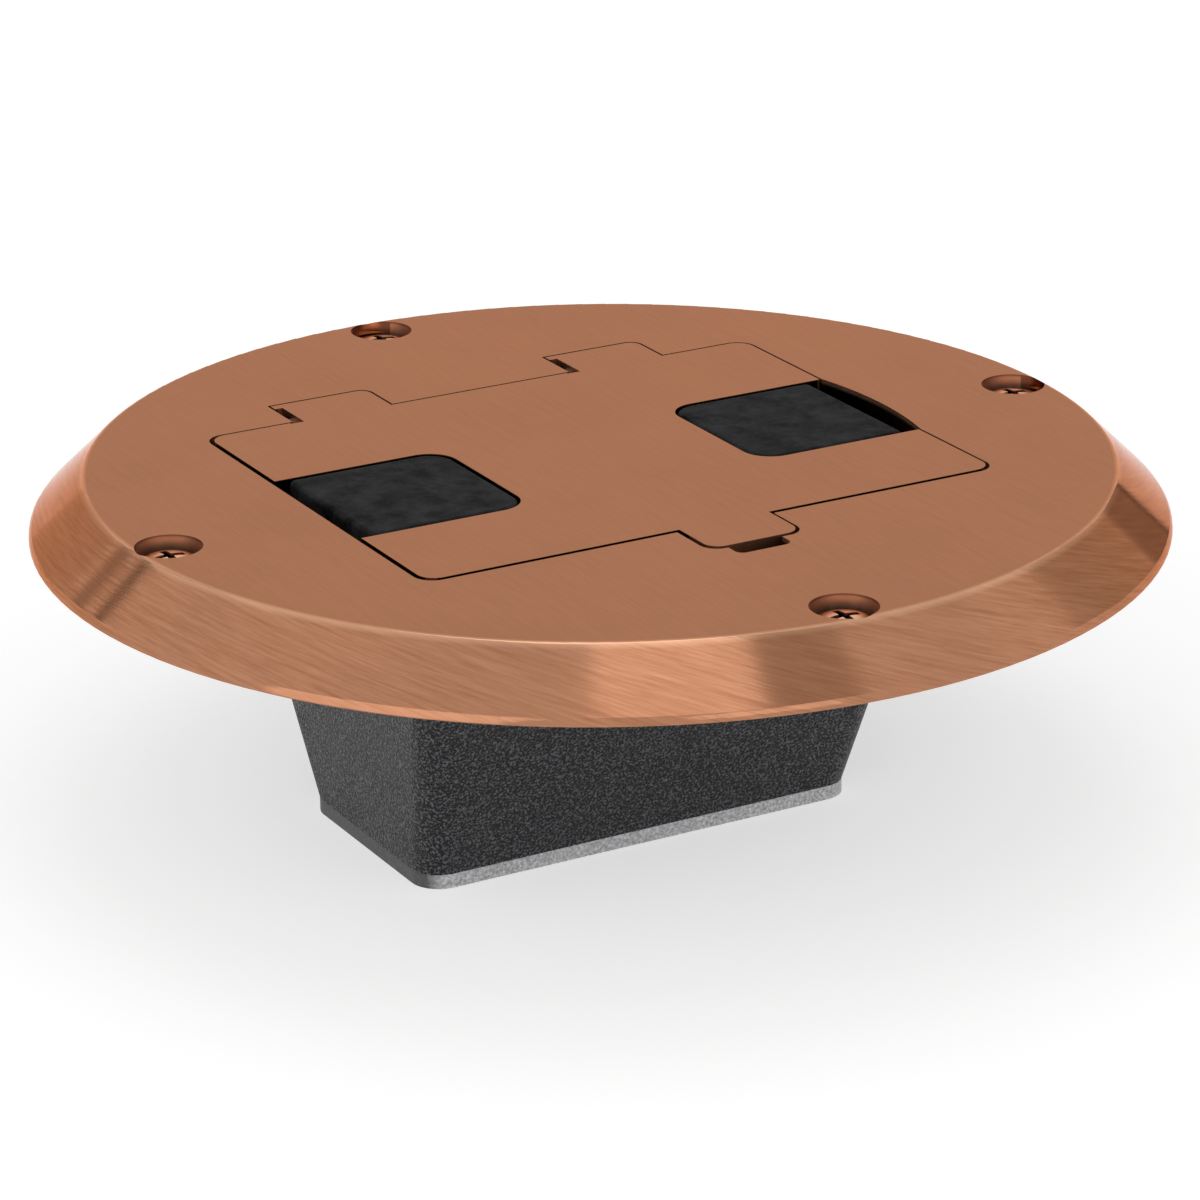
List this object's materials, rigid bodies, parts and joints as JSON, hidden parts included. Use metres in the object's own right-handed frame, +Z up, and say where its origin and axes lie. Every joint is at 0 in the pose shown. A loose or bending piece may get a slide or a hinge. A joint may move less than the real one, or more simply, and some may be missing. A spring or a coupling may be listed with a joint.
{
  "type": "floor socket box",
  "caption": "Round flush floor socket box: brushed copper cover with a hinged rectangular lid, black flip-up cord doors, and a tapered black box holding a duplex receptacle.",
  "frame": {"origin": "centre of the cover at floor level: the middle of the floor-screw circle, in the plane where the cover's rim and the mounting ring lie on the floor", "axes": "+Z up out of the floor; the lid's hinge is at the rear (+Y) and its finger notch at the front (-Y); +X is right, seen from the front"},
  "size_m": [0.184, 0.184, 0.0628],
  "materials": {
    "copper": "brushed copper plate",
    "black_box": "black granular textured coat",
    "base_zinc": "zinc plated, light grey",
    "zinc_steel": "zinc plated steel",
    "plain_steel": "ground steel rod",
    "rubber": "black sheet rubber",
    "black_plastic": "satin black moulding",
    "ivory_plastic": "ivory moulding",
    "dark_plastic": "dark phenolic moulding",
    "brass": "plain brass",
    "green_paint": "green screw head"
  },
  "bodies": {
    "root": {"flange": "copper", "cover_screws": "copper", "mounting_ring": "zinc_steel", "box_gasket": "rubber", "lid_gasket": "rubber", "hinge_pin": "plain_steel", "pin_keeper": "zinc_steel", "keeper_screws": "zinc_steel", "box_shell": "black_box", "shell_screws": "zinc_steel", "base_plate": "base_zinc", "base_screws": "zinc_steel", "cable_bushing": "black_plastic", "device_plate": "zinc_steel", "device_plate_screws": "zinc_steel", "receptacle_face": "ivory_plastic", "receptacle_body": "dark_plastic", "line_contacts": "brass", "neutral_contacts": "brass", "line_screws": "brass", "neutral_screws": "zinc_steel", "ground_strap": "brass", "ground_screw": "green_paint", "centre_screw": "zinc_steel"},
    "lid": {"lid": "copper"},
    "left_door": {"left_door": "black_plastic"},
    "right_door": {"right_door": "black_plastic"}
  },
  "joints": [
    {"name": "lid_hinge", "type": "hinge", "parent": "root", "child": "lid", "pos_m": [0, 0.0452, 0.0072], "axis": [-1, 0, 0], "range_deg": [0, 120]},
    {"name": "left_door_hinge", "type": "hinge", "parent": "lid", "child": "left_door", "pos_m": [-0.0288, 0, 0.00775], "axis": [0, 1, 0], "range_deg": [0, 138]},
    {"name": "right_door_hinge", "type": "hinge", "parent": "lid", "child": "right_door", "pos_m": [0.0288, 0, 0.00775], "axis": [0, -1, 0], "range_deg": [0, 138]}
  ]
}
